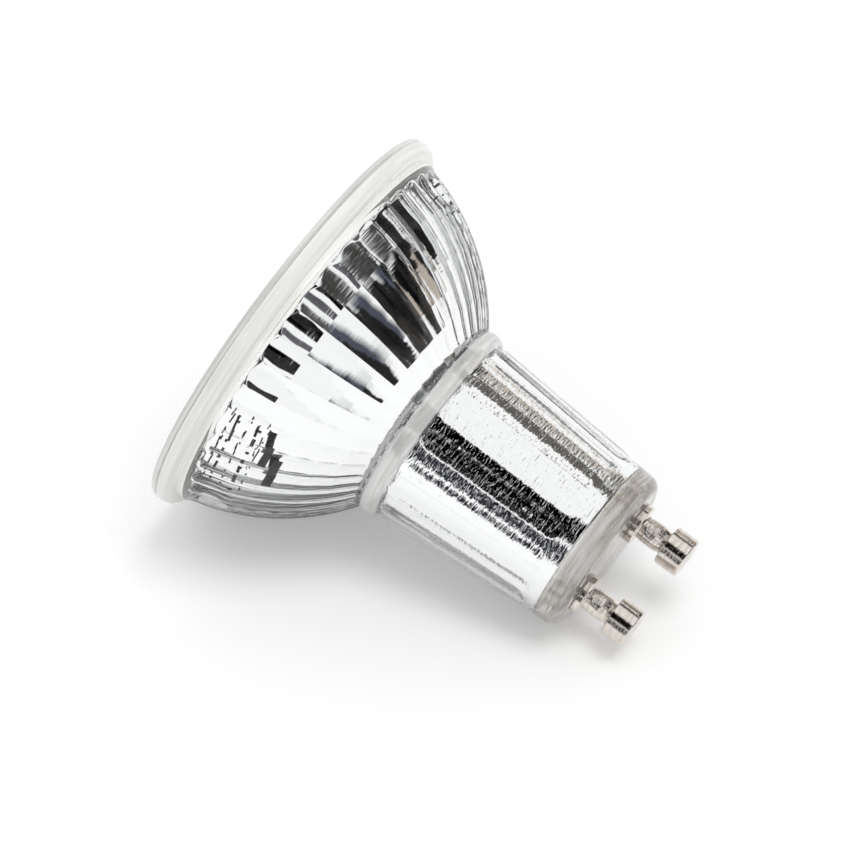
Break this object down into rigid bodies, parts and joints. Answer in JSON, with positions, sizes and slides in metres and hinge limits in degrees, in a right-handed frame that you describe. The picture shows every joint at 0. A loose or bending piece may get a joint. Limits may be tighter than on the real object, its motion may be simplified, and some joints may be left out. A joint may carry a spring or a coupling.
{
  "type": "led light bulb",
  "caption": "Glass reflector lamp with a fluted mirrored bowl, a ribbed neck, a flat clear front lens and round-headed twist-lock contact pins.",
  "frame": {"origin": "centre of the flat front face of the lens, on the surface that the lamp stands on", "axes": "+Z along the lamp's axis from the front lens to the contact pins, +X through the pin named right_pin"},
  "size_m": [0.05, 0.05, 0.0528],
  "materials": {
    "clear_glass": "polished pressed glass, mirror-coated inside",
    "lens_plastic": "clear moulded",
    "adhesive": "satin silicone",
    "spreader_metal": "turned",
    "white_board": "white solder mask",
    "phosphor": "moulded package with phosphor",
    "screw_steel": "zinc plated",
    "cup_plastic": "moulded",
    "green_board": "satin",
    "capacitor_can": "sleeved can",
    "film_yellow": "dipped",
    "ferrite": "sintered",
    "copper_wire": "enamelled",
    "black_epoxy": "moulded",
    "ceramic_tan": "fired",
    "resistor_body": "lacquered",
    "nickel": "nickel plated, bright",
    "tinned_wire": "tinned"
  },
  "bodies": {
    "root": {"glass_body": "clear_glass", "front_lens": "lens_plastic", "lens_adhesive": "adhesive", "heat_spreader": "spreader_metal", "led_board": "white_board", "leds": "phosphor", "board_screws": "screw_steel", "insulating_cup": "cup_plastic", "driver_board": "green_board", "bulk_capacitor": "capacitor_can", "film_capacitor": "film_yellow", "inductor_core": "ferrite", "inductor_winding": "copper_wire", "driver_chip": "black_epoxy", "bridge_rectifier": "black_epoxy", "output_diode": "black_epoxy", "output_capacitor": "ceramic_tan", "fuse_resistor": "resistor_body", "left_pin": "nickel", "right_pin": "nickel", "left_lead": "tinned_wire", "right_lead": "tinned_wire", "positive_contact": "tinned_wire", "negative_contact": "tinned_wire"}
  },
  "joints": []
}
